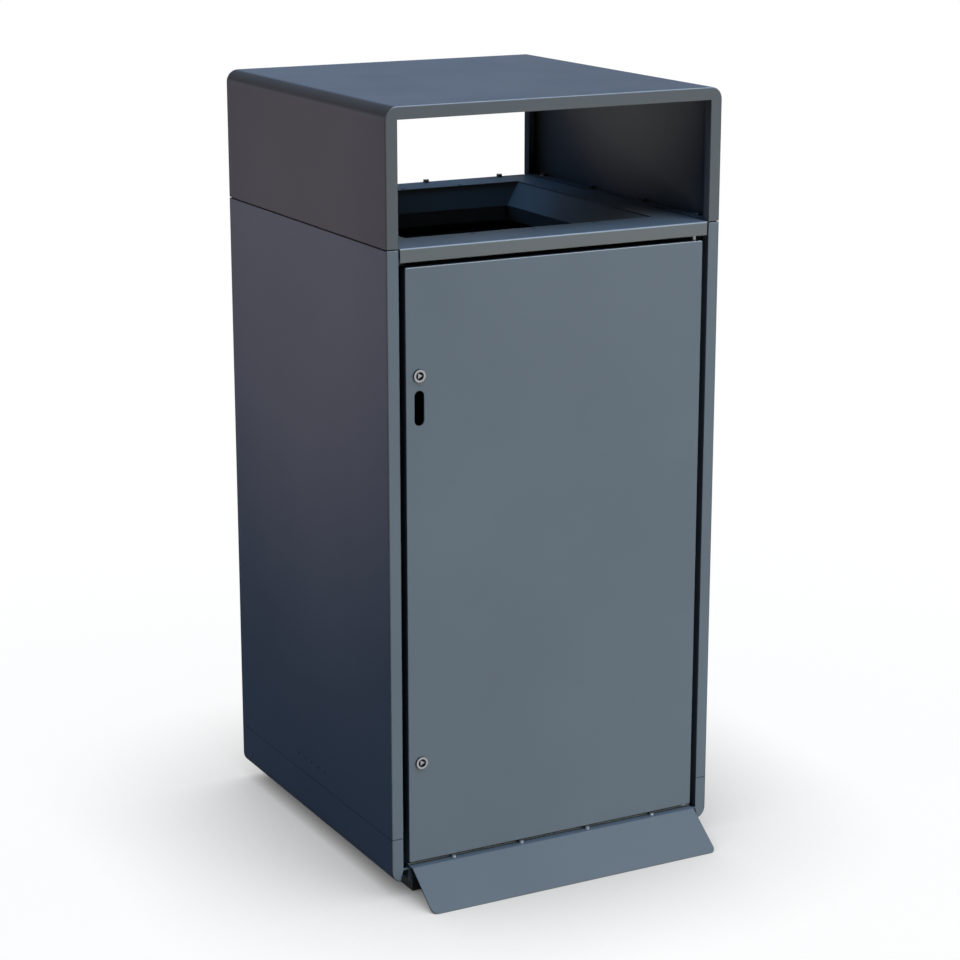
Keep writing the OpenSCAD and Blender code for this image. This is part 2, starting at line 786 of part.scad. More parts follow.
// Rivets through the deck and the funnel's flange, each with a head on both sides
module funnel_rivets() {
    color(coat) at_funnel_rivets() {
        translate([0, 0, z_deck - funnel_t]) cylinder(d = rivet_d, h = funnel_t + sheet_t);
        translate([0, 0, z_deck_top]) cylinder(d = rivet_head_d, h = rivet_head_h);
        translate([0, 0, z_deck - funnel_t - rivet_head_h]) cylinder(d = rivet_head_d, h = rivet_head_h);
    }
}

// Bolts that hold the side panels down on the tray
module tray_bolts() {
    color(zinc) at_side_rows() translate([0, 0, z_tray_top + sheet_t]) bolt(2 * sheet_t + nut_h + thread_end);
}

module tray_nuts() {
    color(zinc) at_side_rows() translate([0, 0, z_tray_top - sheet_t]) nut();
}

// Bolts that hold the tray on the plinth, under the floor plate
module plinth_bolts() {
    color(zinc) at_corners(plinth_bolt_x, plinth_bolt_y)
        translate([0, 0, z_tray + sheet_t]) bolt(sheet_t + plinth_t + nut_h + thread_end);
}

module plinth_nuts() {
    color(zinc) at_corners(plinth_bolt_x, plinth_bolt_y) translate([0, 0, z_tray - plinth_t]) nut();
}

// Screws from inside, through the rear panel's edges and the rear returns
module rear_panel_screws() {
    color(zinc) for (s = [0, 1]) mirror([s, 0, 0]) at_panel_screws() {
        pin_x(rivet_d / 2, -sheet_t - screw_end, sheet_t);
        pin_x(rivet_head_d / 2, sheet_t, sheet_t + screw_head_h);
    }
}

// Screws of the ramp, with round heads on its flange
module ramp_screws() {
    color(zinc) at_ramp_screws() {
        cylinder(d = ramp_head_d, h = ramp_head_h);
        translate([0, 0, -ramp_t - sheet_t - ramp_thread])
            cylinder(d = rivet_d, h = ramp_t + sheet_t + ramp_thread);
    }
}

// Door: a folded pan with lips behind, holes for locks, pins and fingers
module door_panel() {
    door_z = (door_low + door_high) / 2;
    color(coat) difference() {
        translate([door_x, 0, door_z]) difference() {
            upright(y_front, door_back) round_rect(door_w, door_h, door_r);
            upright(y_front + sheet_t, door_back - sheet_t)
                round_rect(door_w - 2 * sheet_t, door_h - 2 * sheet_t, door_r - sheet_t);
            upright(door_back - sheet_t - cut, door_back + cut)
                square([door_w - 2 * door_lip, door_h - 2 * door_lip], center = true);
        }
        for (z = [lock_z_low, lock_z_high]) translate([lock_x, 0, z])
            pin_y(lock_body_d / 2 + hole_gap, y_front - cut, y_front + sheet_t + cut);
        translate([lock_x, 0, door_low + slot_up]) upright(y_front - cut, y_front + sheet_t + cut) {
            square([slot_w, slot_h - slot_w], center = true);
            for (s = [-1, 1]) translate([0, s * (slot_h - slot_w) / 2]) circle(d = slot_w);
        }
        translate([hinge_x, hinge_y, door_low - cut])
            cylinder(d = pin_d + 2 * pin_hole_gap, h = door_h + 2 * cut);
    }
}

// Door stiffener: a hat section up the middle of the door's back
module door_stiffener() {
    crown = stiffener_w / 2;
    y0 = y_front + sheet_t;
    y1 = door_back - 2 * sheet_t;
    z0 = door_low + sheet_t + seat;
    z1 = door_high - sheet_t - seat;
    color(coat) {
        block([door_x - crown, y1 - sheet_t, z0], [door_x + crown, y1, z1]);
        for (s = [-1, 1]) translate([door_x, 0, 0]) mirror([s < 0 ? 1 : 0, 0, 0]) {
            block([crown - sheet_t, y0, z0], [crown, y1, z1]);
            block([crown - sheet_t, y0, z0], [crown + stiffener_foot, y0 + sheet_t, z1]);
        }
    }
}

// Hinge block in the corner of the door, from z up, with the pin's bore
module hinge_block(z) {
    color(zinc) difference() {
        block([door_right - sheet_t - block_w, y_front + sheet_t, z],
            [door_right - sheet_t, door_back - sheet_t, z + block_h]);
        translate([hinge_x, hinge_y, z - cut]) cylinder(d = pin_d + 2 * run_gap, h = block_h + 2 * cut);
    }
}

module upper_hinge_block() {
    hinge_block(door_high - sheet_t - block_h);
}

module lower_hinge_block() {
    hinge_block(door_low + sheet_t);
}

// Lock housing on the lock's axis: flange, body, round socket and the shaft's bore
module lock_housing() {
    y0 = y_front - lock_flange_t;
    color(zinc) difference() {
        union() {
            pin_y(lock_flange_d / 2, y0, y_front);
            pin_y(lock_body_d / 2, y0, y_front + lock_body_end);
        }
        pin_y(socket_d / 2, y0 - cut, y_front + socket_depth);
        pin_y(shaft_d / 2 + run_gap, y_front, y_front + lock_body_end + cut);
    }
}

// Hexagon nut behind the door's face
module lock_nut() {
    y0 = y_front + sheet_t;
    color(zinc) upright(y0, y0 + nut_t) difference() {
        hexagon(lock_nut_af);
        circle(r = lock_body_d / 2 + run_gap);
    }
}

// Key spindle: triangle for the key, disc, shaft, and a square end for the cam
module lock_spindle() {
    disc_y = y_front + socket_depth - seat;
    end_y = y_front + cam_y;
    color(zinc) difference() {
        union() {
            upright(y_front - lock_flange_t / 2, disc_y) circle(key_r, $fn = 3);
            pin_y(socket_d / 2 - key_disc_gap, disc_y - key_disc_t, disc_y);
            pin_y(shaft_d / 2, disc_y - cut, end_y);
            upright(end_y - cut, end_y + cam_t) square(square_w, center = true);
        }
        pin_y(cam_screw_d / 2 + run_gap, end_y - cam_screw_l - cut, end_y + cam_t + cut);
    }
}

// Cam: a flat lever with a square hole, pointing up while the door is free
module lock_cam() {
    color(zinc) upright(y_front + cam_y, y_front + cam_y + cam_t) difference() {
        union() {
            circle(d = cam_w);
            translate([-cam_w / 2, 0]) square([cam_w, cam_reach - cam_w / 2]);
            translate([0, cam_reach - cam_w / 2]) circle(d = cam_w);
        }
        square(square_w + 2 * run_gap, center = true);
    }
}

// Screw that holds the cam on the spindle
module lock_screw() {
    y0 = y_front + cam_y + cam_t;
    color(zinc) {
        pin_y(cam_head_d / 2, y0, y0 + cam_head_h);
        pin_y(cam_screw_d / 2, y0 - cam_t - cam_screw_l, y0);
    }
}

// Places its children on the axis of the upper or the lower lock
module at_lock(z) {
    translate([lock_x, 0, z]) children();
}

// Outline of the container's walls at one level
module can_outline(w, d) {
    round_rect(w, d, can_r, $fn = hull_fn);
}

// The container's tapered form, grown or shrunk by the given amount, from z0 up to z1
module can_form(grow, z0, z1) {
    top_w = can_w - 2 * can_rim_out;
    top_d = can_d - 2 * can_rim_out;
    hull() {
        translate([0, can_base_y, z0]) linear_extrude(cut)
            can_outline(can_base_w + 2 * grow, can_base_d + 2 * grow);
        translate([0, can_y, z1 - cut]) linear_extrude(cut)
            can_outline(top_w + 2 * grow, top_d + 2 * grow);
    }
}

// Container: tapered walls, rolled rim, feet, lugs for the handle and a tunnel for the axle
module container_body() {
    z0 = z_floor + can_foot;
    color(container_green) difference() {
        union() {
            can_form(0, z0, can_top);
            translate([0, can_y, can_top - can_rim_h]) linear_extrude(can_rim_h)
                round_rect(can_w, can_d, can_r + can_rim_out);
            for (s = [-1, 1]) {
                translate([s * can_base_w / 4, can_base_back - can_foot_in, 0])
                    block([-can_foot_w / 2, -can_foot_d, z_floor], [can_foot_w / 2, 0, z0 + cut]);
                translate([s * (bar_l + lug_t) / 2, 0, bar_z])
                    block([-lug_t / 2, bar_y - bar_d / 2 - lug_wall, -lug_h / 2],
                        [lug_t / 2, can_front + can_r, lug_h / 2]);
            }
            block([-tunnel_x, axle_y - tunnel_h / 2, axle_z - tunnel_h / 2],
                [tunnel_x, axle_y + tunnel_h, axle_z + tunnel_h / 2]);
        }
        can_form(-can_t, z0 + can_t, can_top + cut);
        translate([0, axle_y, axle_z]) pin_x(axle_d / 2 + run_gap, -wheel_x0, wheel_x0);
        translate([0, bar_y, bar_z]) pin_x(bar_d / 2 + run_gap, -bar_l, bar_l);
    }
}

module container_handle() {
    color(zinc) translate([0, bar_y, bar_z]) pin_x(bar_d / 2, -bar_l / 2 - lug_t, bar_l / 2 + lug_t);
}

module container_axle() {
    color(zinc) translate([0, axle_y, axle_z]) pin_x(axle_d / 2, -axle_l / 2, axle_l / 2);
}

// Caps that keep the wheels on the axle
module container_wheel_caps() {
    x0 = wheel_x0 + wheel_w + seat;
    color(coat_dark) for (s = [0, 1]) mirror([s, 0, 0]) translate([0, axle_y, axle_z]) difference() {
        pin_x(cap_d / 2, x0, x0 + cap_t);
        pin_x(axle_d / 2 + run_gap, x0 - cut, axle_l / 2 + run_gap);
    }
}

// Wheel at +X: tyre, rim, web and hub as one revolved section
module wheel() {
    bore_r = axle_d / 2 + run_gap;
    hub_r = axle_d / 2 + hub_wall;
    rim_r = wheel_r - tyre_h;
    color(coat_dark) translate([wheel_x0, axle_y, axle_z]) rotate([0, 90, 0]) rotate_extrude() {
        translate([rim_r, tyre_step]) square([tyre_h - tyre_r, wheel_w - 2 * tyre_step]);
        translate([rim_r, tyre_step + tyre_r]) square([tyre_h, wheel_w - 2 * (tyre_step + tyre_r)]);
        for (x = [tyre_step + tyre_r, wheel_w - tyre_step - tyre_r])
            translate([wheel_r - tyre_r, x]) circle(tyre_r);
        translate([hub_r - cut, (wheel_w - web_t) / 2]) square([rim_r - hub_r + 2 * cut, web_t]);
        translate([bore_r, 0]) square([hub_r - bore_r, wheel_w]);
    }
}

hood();
deck_plate();
funnel_chute();
left_side_panel();
right_side_panel();
rear_panel();
base_tray();
floor_plate();
ramp_plate();
plinth_frame();
door_stop_rail();
door_buffers();
stop_rail_rivets();
upper_hinge_bracket();
upper_hinge_pin();
lower_hinge_pin();
thrust_washer();
hood_bolts();
hood_nuts();
deck_rear_bolts();
deck_rear_nuts();
funnel_rivets();
tray_bolts();
tray_nuts();
plinth_bolts();
plinth_nuts();
rear_panel_screws();
ramp_screws();
door_panel();
door_stiffener();
upper_hinge_block();
lower_hinge_block();
at_lock(lock_z_high) lock_housing();  // upper_lock_housing
at_lock(lock_z_high) lock_nut();  // upper_lock_nut
at_lock(lock_z_high) lock_spindle();  // upper_lock_spindle
at_lock(lock_z_high) lock_cam();  // upper_lock_cam
at_lock(lock_z_high) lock_screw();  // upper_lock_screw
at_lock(lock_z_low) lock_housing();  // lower_lock_housing
at_lock(lock_z_low) lock_nut();  // lower_lock_nut
at_lock(lock_z_low) lock_spindle();  // lower_lock_spindle
at_lock(lock_z_low) lock_cam();  // lower_lock_cam
at_lock(lock_z_low) lock_screw();  // lower_lock_screw
container_body();
container_handle();
container_axle();
container_wheel_caps();
mirror([1, 0, 0]) wheel();  // container_wheel_left
wheel();  // container_wheel_right
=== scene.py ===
"""The looks of a folded steel litter housing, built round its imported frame.

Metres, +Z up, front towards -Y.
"""

import json
import math

import bpy
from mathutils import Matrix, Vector


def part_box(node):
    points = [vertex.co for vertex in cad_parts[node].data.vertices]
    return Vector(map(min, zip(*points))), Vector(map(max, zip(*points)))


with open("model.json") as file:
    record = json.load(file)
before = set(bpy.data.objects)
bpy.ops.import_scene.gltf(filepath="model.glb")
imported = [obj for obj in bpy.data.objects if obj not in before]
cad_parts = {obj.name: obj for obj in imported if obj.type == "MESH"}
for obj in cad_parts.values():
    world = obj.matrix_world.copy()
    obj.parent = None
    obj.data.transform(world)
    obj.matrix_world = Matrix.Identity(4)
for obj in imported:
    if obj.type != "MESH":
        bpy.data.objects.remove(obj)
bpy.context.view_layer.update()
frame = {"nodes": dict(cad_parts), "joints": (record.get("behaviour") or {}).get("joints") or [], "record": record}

# The photograph's camera
CAMERA_AT = Vector((-1.9713, -3.7429, 1.7291))
CAMERA_LOOKS = Vector((0.4545, 0.8523, -0.2587))
CAMERA_LENS_MM = 95.235
CAMERA_SENSOR_MM = 36.0

# Dim light from all round, in linear light
AMBIENT = (0.012, 0.012, 0.016)
WHITE = (1.0, 1.0, 1.0)

# Half the side of the floor
FLOOR_HALF = 60.0
# The floor's colour as the camera sees it lit, and as it throws light back
FLOOR_SEEN = (0.9, 0.8, 0.66)
FLOOR_BOUNCE = (0.1, 0.1, 0.12)
# How far from the object the painted shade in the floor's white reaches
FLOOR_SHADE_REACH = 0.4
# Share of plain white in the floor near the object, and from where to where it grows to all of it
FLOOR_GLOW = 0.92
FLOOR_FADE_FROM = 0.6
FLOOR_FADE_TO = 2.2

# Square lamps: name, place, aim, side, watts, colour
PANEL_LIGHTS = (
    ("right_front_light", (1.3, -3.6, 0.5), (0.0, -0.3, 0.6), 1.2, 92.0, (1.0, 0.94, 0.78)),
    ("left_front_light", (-0.8, -3.6, 0.45), (0.0, -0.3, 0.6), 1.0, 22.0, (1.0, 0.92, 0.74)),
    ("high_front_light", (0.9, -2.6, 3.4), (0.0, -0.3, 0.9), 1.0, 20.0, (1.0, 0.88, 0.66)),
    ("low_rear_light", (1.0, 3.4, 0.45), (0.0, 0.3, 0.6), 1.2, 110.0, (1.0, 0.86, 0.68)),
)
# Far lamps: name, direction of the light, strength, colour, width in degrees
SUNS = (
    ("top_light", (0.0, 0.35, -1.0), 1.0, (1.02, 1.74, 2.9), 40.0),
    ("right_light", (-1.0, 0.0, -0.25), 1.5, (1.0, 1.0, 1.03), 40.0),
    ("rear_light", (0.1, -0.9, -0.4), 1.0, (0.28, 0.58, 1.2), 60.0),
)
# Lamps with a beam: name, place, aim, watts, colour, width of the beam in degrees, radius
SPOT_LIGHTS = (
    ("left_light", (-4.0, -0.2, 2.4), (-0.3, 0.02, 1.16), 335.0, (1.0, 0.68, 0.58), 24.0, 0.25),
    ("mouth_light", (-1.1, -2.5, 0.55), (0.28, 0.1, 1.2), 80.0, (1.0, 0.82, 0.74), 6.5, 0.25),
    ("hood_light", (-0.26, 0.0, 1.11), (0.28, -0.01, 1.36), 3.8, (1.0, 0.84, 0.76), 64.0, 0.04),
    ("deck_rear_light", (0.1, 1.5, 2.2), (0.1, 0.28, 1.07), 68.0, (0.12, 0.5, 1.0), 12.0, 0.1),
)

# Colours in linear light
COAT = (0.117, 0.144, 0.171)
# Painted shade: a darker, greyer copy of the coat for the hood
HOOD_SHADED_COAT = (0.098, 0.111, 0.122)
# A copy of the coat with a painted tint, warmer and less blue, that offsets the blue light from above on deck,
# funnel and ramp
FLAT_LIGHT_TINTED_COAT = (0.124, 0.138, 0.145)
BLACK_COAT = (0.012, 0.013, 0.015)
# Painted highlights on folds that face up and to front or rear, for the coat, the door and the bolt heads
COAT_FOLD_HIGHLIGHT = (0.31, 0.345, 0.37)
DOOR_FOLD_HIGHLIGHT = (0.60, 0.63, 0.65)
BOLT_HEAD_HIGHLIGHT = (0.50, 0.52, 0.54)
# Painted shade on the outer folds of the hood and side panels
SHOULDER_SHADE = (0.044, 0.045, 0.040)
# Painted shade in narrow gaps, inner corners and along the seam
GAP_SHADE = (0.006, 0.008, 0.010)
ZINC = (0.30, 0.31, 0.32)
SCREW_METAL = (0.86, 0.87, 0.88)
LOCK_METAL = (0.36, 0.37, 0.385)
# Painted shade for the lock's socket, its flange rim and the key deep in its socket
LOCK_SHADE = (0.035, 0.036, 0.04)
RUBBER = (0.018, 0.018, 0.019)
CONTAINER = (0.030, 0.033, 0.036)

# Roughness of the coats, and the level of their sheen
COAT_ROUGHNESS = 0.5
COAT_SHEEN = 0.008
BLACK_SHEEN = 0.3
BOLT_ROUGHNESS = 0.25
BOLT_SHEEN = 0.8

# Radius of the rounding that the coat shows on sharp edges, and the samples that find it
EDGE_R = 0.002
EDGE_SAMPLES = 6
# How far away a surface still casts painted shade into a gap, and how open a gap is where that painted shade is
# full and where it is gone
GAP_REACH = 0.04
GAP_DARK = 0.2
GAP_CLEAR = 0.55
GAP_SAMPLES = 4

# A painted highlight or painted shade on a fold between two directions shows by the product of how far it faces
# each, from a start to full
FOLD_LEAN = (0.12, 0.42)
HOOD_FOLD_LEAN = (0.34, 0.46)
SHOULDER_LEAN = (0.1, 0.32)
END_FOLD_LEAN = (0.15, 0.4)
# How dark the painted shade on the outer folds to front and rear gets
END_FOLD_SHADE = 0.7
# How far above the tray the side panels' folds get their painted highlight, and how far below its top the door's
# do
FOLD_MARGIN = 0.01

# Half the width of the line of painted shade at the seam between side panels and base tray, and how dark it is at
# sides and rims
SEAM_HALF = 0.0005
SIDE_SEAM_SHADE = 0.25
RIM_SEAM_SHADE = 0.8

# Joints of the two locks
LOCK_JOINTS = ("upper_lock_turn", "lower_lock_turn")
# Radius of the painted shade in the socket round the key spindle, and how far inside and outside it the tone turns
SOCKET_R = 0.00675
SOCKET_BLUR_IN = 0.0004
SOCKET_BLUR_OUT = 0.0001
# How far inside the flange's own radius its bright ring starts to turn to painted shade, and is fully shaded
RING_BLUR_FROM = 0.0005
RING_BLUR_TO = 0.0002
# Depth behind the key spindle's tip where its metal starts to turn to painted shade, and is fully shaded
KEY_SHADE_FROM = 0.001
KEY_SHADE_TO = 0.004

# The usual low and high value of a noise pattern
NOISE_LOW = 0.3
NOISE_HIGH = 0.7


def make_camera():
    data = bpy.data.cameras.new("camera")
    data.lens = CAMERA_LENS_MM
    data.sensor_width = CAMERA_SENSOR_MM
    camera = bpy.data.objects.new("camera", data)
    camera.location = CAMERA_AT
    camera.rotation_euler = CAMERA_LOOKS.to_track_quat("-Z", "Y").to_euler()
    bpy.context.scene.collection.objects.link(camera)
    bpy.context.scene.camera = camera


def opaque(colour):
    return (*colour, 1.0)


def tinted(colour, factor):
    return tuple(c * factor for c in colour)


def fill(tree, node, inputs):
    """Set each named or numbered input of a node to a value, or link it to another node's output."""
    for key, value in inputs.items():
        if isinstance(value, bpy.types.NodeSocket):
            tree.links.new(value, node.inputs[key])
        else:
            node.inputs[key].default_value = value


def add(tree, kind, inputs):
    node = tree.nodes.new(kind)
    fill(tree, node, inputs)
    return node


class Nodes:
    """A new material, and helpers that add nodes to its tree."""

    def __init__(self, name):
        self.material = bpy.data.materials.new(name)
        self.material.use_nodes = True
        self.tree = self.material.node_tree
        self.shader = self.tree.nodes["Principled BSDF"]
        self.place = self.tree.nodes.new("ShaderNodeTexCoord").outputs["Object"]

    def shade(self, inputs):
        """Set or link inputs of the material's shader."""
        fill(self.tree, self.shader, inputs)

    def apart(self, vector):
        """The three parts of a vector."""
        return add(self.tree, "ShaderNodeSeparateXYZ", {0: vector}).outputs

    def noise(self, scale, detail=3.0, roughness=0.5, place=None):
        inputs = {
            "Vector": place or self.place,
            "Scale": scale,
            "Detail": detail,
            "Roughness": roughness,
        }
        return add(self.tree, "ShaderNodeTexNoise", inputs).outputs["Fac"]

    def stretched(self, factors):
        inputs = {"Vector": self.place, "Scale": factors}
        return add(self.tree, "ShaderNodeMapping", inputs).outputs["Vector"]

    def spread(self, value, low, high, from_low=NOISE_LOW, from_high=NOISE_HIGH):
        """low where the value is from_low, high where it is from_high, and evenly in between."""
        inputs = {
            "Value": value,
            "From Min": from_low,
            "From Max": from_high,
            "To Min": low,
            "To Max": high,
        }
        return add(self.tree, "ShaderNodeMapRange", inputs).outputs["Result"]

    def uneven(self, pattern, middle, change):
        """A value that the pattern moves up and down from its middle."""
        return self.spread(pattern, middle - change, middle + change)

    def math(self, operation, *values):
        node = self.tree.nodes.new("ShaderNodeMath")
        node.operation = operation
        fill(self.tree, node, dict(enumerate(values)))
        return node.outputs[0]

    def mix(self, factor, first, second):
        """Colour that goes from the first to the second as the factor goes from 0 to 1."""
        node = self.tree.nodes.new("ShaderNodeMix")
        node.data_type = "RGBA"
        fill(self.tree, node, {"Factor": factor, "A": first, "B": second})
        return node.outputs["Result"]

    def tones(self, pattern, colour, dark, light):
        """The colour times a factor that the pattern moves between dark and light."""
        factor = self.spread(pattern, 0.0, 1.0)
        return self.mix(factor, opaque(tinted(colour, dark)), opaque(tinted(colour, light)))

    def rounded_normal(self, radius):
        node = self.tree.nodes.new("ShaderNodeBevel")
        node.samples = EDGE_SAMPLES
        fill(self.tree, node, {"Radius": radius})
        return node.outputs["Normal"]

    def facing(self, normal):
        """How far a surface faces to the right, to front or rear, and up, in the object's directions."""
        turned = self.tree.nodes.new("ShaderNodeVectorTransform")
        turned.vector_type = "NORMAL"
        turned.convert_from = "WORLD"
        turned.convert_to = "OBJECT"
        fill(self.tree, turned, {0: normal})
        right, rear, up = self.apart(turned.outputs[0])
        return right, self.math("ABSOLUTE", rear), up

    def gap_shade_mask(self):
        """1 where painted shade is full, deep in narrow gaps and inner corners, 0 on open faces."""
        node = self.tree.nodes.new("ShaderNodeAmbientOcclusion")
        node.samples = GAP_SAMPLES
        fill(self.tree, node, {"Distance": GAP_REACH})
        return self.spread(node.outputs["AO"], 1.0, 0.0, GAP_DARK, GAP_CLEAR)

    def bump(self, height, strength, distance, normal=None):
        inputs = {"Height": height, "Strength": strength, "Distance": distance}
        if normal is not None:
            inputs["Normal"] = normal
        self.shade({"Normal": add(self.tree, "ShaderNodeBump", inputs).outputs["Normal"]})


def joint_axis_at(name):
    """The point of a joint's axis that the record gives."""
    return next(joint["pos_m"] for joint in frame["joints"] if joint["name"] == name)


def powder_coat(name, colour, roughness=COAT_ROUGHNESS, sheen=COAT_SHEEN, fold=None, fold_lean=FOLD_LEAN,
                highlight_above=0.0, shoulder=None, seam=None):
    """Satin powder coat with a fine orange-peel grain and light clouds in its tone and roughness.

    Folds between an upper face and the front or rear take a painted highlight in the colour fold above the given
    height, outer folds take painted shade in the colour shoulder, and a thin line of painted shade runs round at
    the height seam.
    """
    m = Nodes(name)
    rounded = m.rounded_normal(EDGE_R)
    x, _, z = m.apart(m.place)
    right, ends, up = m.facing(rounded)
    clouds = m.noise(scale=3.0, detail=4.0)
    tone = m.tones(clouds, colour, dark=0.96, light=1.04)
    # Painted highlight on folds that face up and to front or rear, above the given height
    if fold:
        fold_highlight_mask = m.spread(m.math("MULTIPLY", ends, up), 0.0, 1.0, *fold_lean)
        above = m.math("GREATER_THAN", z, highlight_above)
        tone = m.mix(m.math("MULTIPLY", fold_highlight_mask, above), tone, opaque(fold))
    # Painted shade on outer folds turned to the top and to front or rear
    if shoulder:
        outwards = m.math("MAXIMUM", m.math("MULTIPLY", right, m.math("SIGN", x)), 0.0)
        to_top = m.spread(m.math("MULTIPLY", outwards, up), 0.0, 1.0, *SHOULDER_LEAN)
        to_end = m.spread(m.math("MULTIPLY", outwards, ends), 0.0, END_FOLD_SHADE, *END_FOLD_LEAN)
        tone = m.mix(m.math("MAXIMUM", to_top, to_end), tone, opaque(shoulder))
    # Painted shade in a thin line along the seam, darker on rims than on sides
    if seam:
        from_seam = m.math("ABSOLUTE", m.math("SUBTRACT", z, seam))
        line = m.spread(from_seam, 1.0, 0.0, SEAM_HALF, 2.0 * SEAM_HALF)
        shade = m.spread(ends, SIDE_SEAM_SHADE, RIM_SEAM_SHADE, 0.0, 1.0)
        tone = m.mix(m.math("MULTIPLY", line, shade), tone, opaque(GAP_SHADE))
    # The base colour takes painted shade in narrow gaps and inner corners
    m.shade({
        "Base Color": m.mix(m.gap_shade_mask(), tone, opaque(GAP_SHADE)),
        "Roughness": m.uneven(m.noise(scale=9.0, detail=5.0), roughness, change=0.03),
        "Specular IOR Level": sheen,
    })
    m.bump(m.noise(scale=1400.0, detail=2.0), strength=0.25, distance=0.0002, normal=rounded)
    return m.material


def brushed_metal(name, colour, roughness):
    """Bare or plated metal with fine lines and light clouds in its roughness."""
    m = Nodes(name)
    lines = m.noise(scale=90.0, detail=4.0, roughness=0.6, place=m.stretched((1.0, 1.0, 60.0)))
    m.shade({
        "Base Color": m.tones(lines, colour, dark=0.85, light=1.06),
        "Roughness": m.uneven(m.noise(scale=60.0, detail=4.0), roughness, change=0.07),
        "Metallic": 1.0,
    })
    m.bump(lines, strength=0.12, distance=0.0001)
    return m.material


def polished_metal(m, bright):
    """Polished metal with a fine grain: the lock's own tone where bright is 1, painted shade where it is 0."""
    m.shade({
        "Base Color": m.mix(bright, opaque(LOCK_SHADE), opaque(LOCK_METAL)),
        "Roughness": m.uneven(m.noise(scale=60.0, detail=4.0), middle=0.34, change=0.06),
        "Metallic": 1.0,
    })
    m.bump(m.noise(scale=900.0), strength=0.08, distance=0.0001)
    return m.material


def lock_face_metal(name):
    """A bright ring with painted shade in the socket round the key and on the flange's rim, measured from the axis
    of the nearer lock.
    """
    m = Nodes(name)
    x, _, z = m.apart(m.place)
    reaches = []
    for joint in LOCK_JOINTS:
        axis_x, _, axis_z = joint_axis_at(joint)
        across = m.math("SUBTRACT", x, axis_x)
        up = m.math("SUBTRACT", z, axis_z)
        squares = m.math("ADD", m.math("MULTIPLY", across, across), m.math("MULTIPLY", up, up))
        reaches.append(m.math("SQRT", squares))
    reach = m.math("MINIMUM", *reaches)
    flange_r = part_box("upper_lock_housing")[1].z - joint_axis_at(LOCK_JOINTS[0])[2]
    out_of_socket = m.spread(reach, 0.0, 1.0, SOCKET_R - SOCKET_BLUR_IN, SOCKET_R + SOCKET_BLUR_OUT)
    in_flange = m.spread(reach, 1.0, 0.0, flange_r - RING_BLUR_FROM, flange_r - RING_BLUR_TO)
    return polished_metal(m, m.math("MULTIPLY", out_of_socket, in_flange))


def lock_key_metal(name):
    """The key spindle: bright at its tip, with painted shade down in its socket."""
    m = Nodes(name)
    _, y, _ = m.apart(m.place)
    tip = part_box("upper_lock_spindle")[0].y
    return polished_metal(m, m.spread(y, 1.0, 0.0, tip + KEY_SHADE_FROM, tip + KEY_SHADE_TO))


def matt(name, colour, roughness, sheen, grain_scale, grain):
    """Rubber or moulded plastic with a fine grain."""
    m = Nodes(name)
    m.shade({
        "Base Color": m.tones(m.noise(scale=14.0, detail=4.0), colour, dark=0.88, light=1.12),
        "Roughness": m.uneven(m.noise(scale=25.0, detail=4.0), roughness, change=0.05),
        "Specular IOR Level": sheen,
    })
    m.bump(m.noise(grain_scale), grain, distance=0.0003)
    return m.material


def paint(node, material):
    slots = frame["nodes"][node].data.materials
    slots.clear()
    slots.append(material)


def directly_seen(tree):
    """1 for what the camera, a reflection or glass sees, and 0 for the light that falls on things."""
    path = tree.nodes.new("ShaderNodeLightPath")
    seen = path.outputs["Is Camera Ray"]
    for ray in ("Is Glossy Ray", "Is Transmission Ray"):
        most = tree.nodes.new("ShaderNodeMath")
        most.operation = "MAXIMUM"
        fill(tree, most, {0: seen, 1: path.outputs[ray]})
        seen = most.outputs[0]
    return seen


def mix_shaders(tree, factor, first, second):
    return add(tree, "ShaderNodeMixShader", {0: factor, 1: first.outputs[0], 2: second.outputs[0]})


def make_world():
    """White to look at, with a dim light on everything."""
    world = bpy.data.worlds.new("studio")
    bpy.context.scene.world = world
    world.use_nodes = True
    tree = world.node_tree
    tree.nodes.clear()
    dim = add(tree, "ShaderNodeBackground", {"Color": opaque(AMBIENT)})
    white = add(tree, "ShaderNodeBackground", {"Color": opaque(WHITE)})
    either = mix_shaders(tree, directly_seen(tree), dim, white)
    add(tree, "ShaderNodeOutputWorld", {"Surface": either.outputs[0]})


def floor_material():
    """Near white to look at, with the object's shadow from the lamps and a painted shade near it, and dim in the
    light that it throws back.
    """
    material = bpy.data.materials.new("floor")
    material.use_nodes = True
    tree = material.node_tree
    tree.nodes.clear()
    lit = add(tree, "ShaderNodeBsdfDiffuse", {"Color": opaque(FLOOR_SEEN)})
    # Painted shade: the plain white dims near the object
    near = add(tree, "ShaderNodeAmbientOcclusion", {"Distance": FLOOR_SHADE_REACH})
    white = add(tree, "ShaderNodeEmission", {"Strength": near.outputs["AO"]})
    place = tree.nodes.new("ShaderNodeTexCoord")
    far = tree.nodes.new("ShaderNodeVectorMath")
    far.operation = "LENGTH"
    fill(tree, far, {0: place.outputs["Object"]})
    fade = tree.nodes.new("ShaderNodeMapRange")
    fade.interpolation_type = "SMOOTHSTEP"
    fill(tree, fade, {
        "Value": far.outputs["Value"],
        "From Min": FLOOR_FADE_FROM,
        "From Max": FLOOR_FADE_TO,
        "To Min": FLOOR_GLOW,
    })
    pale = mix_shaders(tree, fade.outputs["Result"], lit, white)
    dim = add(tree, "ShaderNodeBsdfDiffuse", {"Color": opaque(FLOOR_BOUNCE)})
    either = mix_shaders(tree, directly_seen(tree), dim, pale)
    add(tree, "ShaderNodeOutputMaterial", {"Surface": either.outputs[0]})
    return material


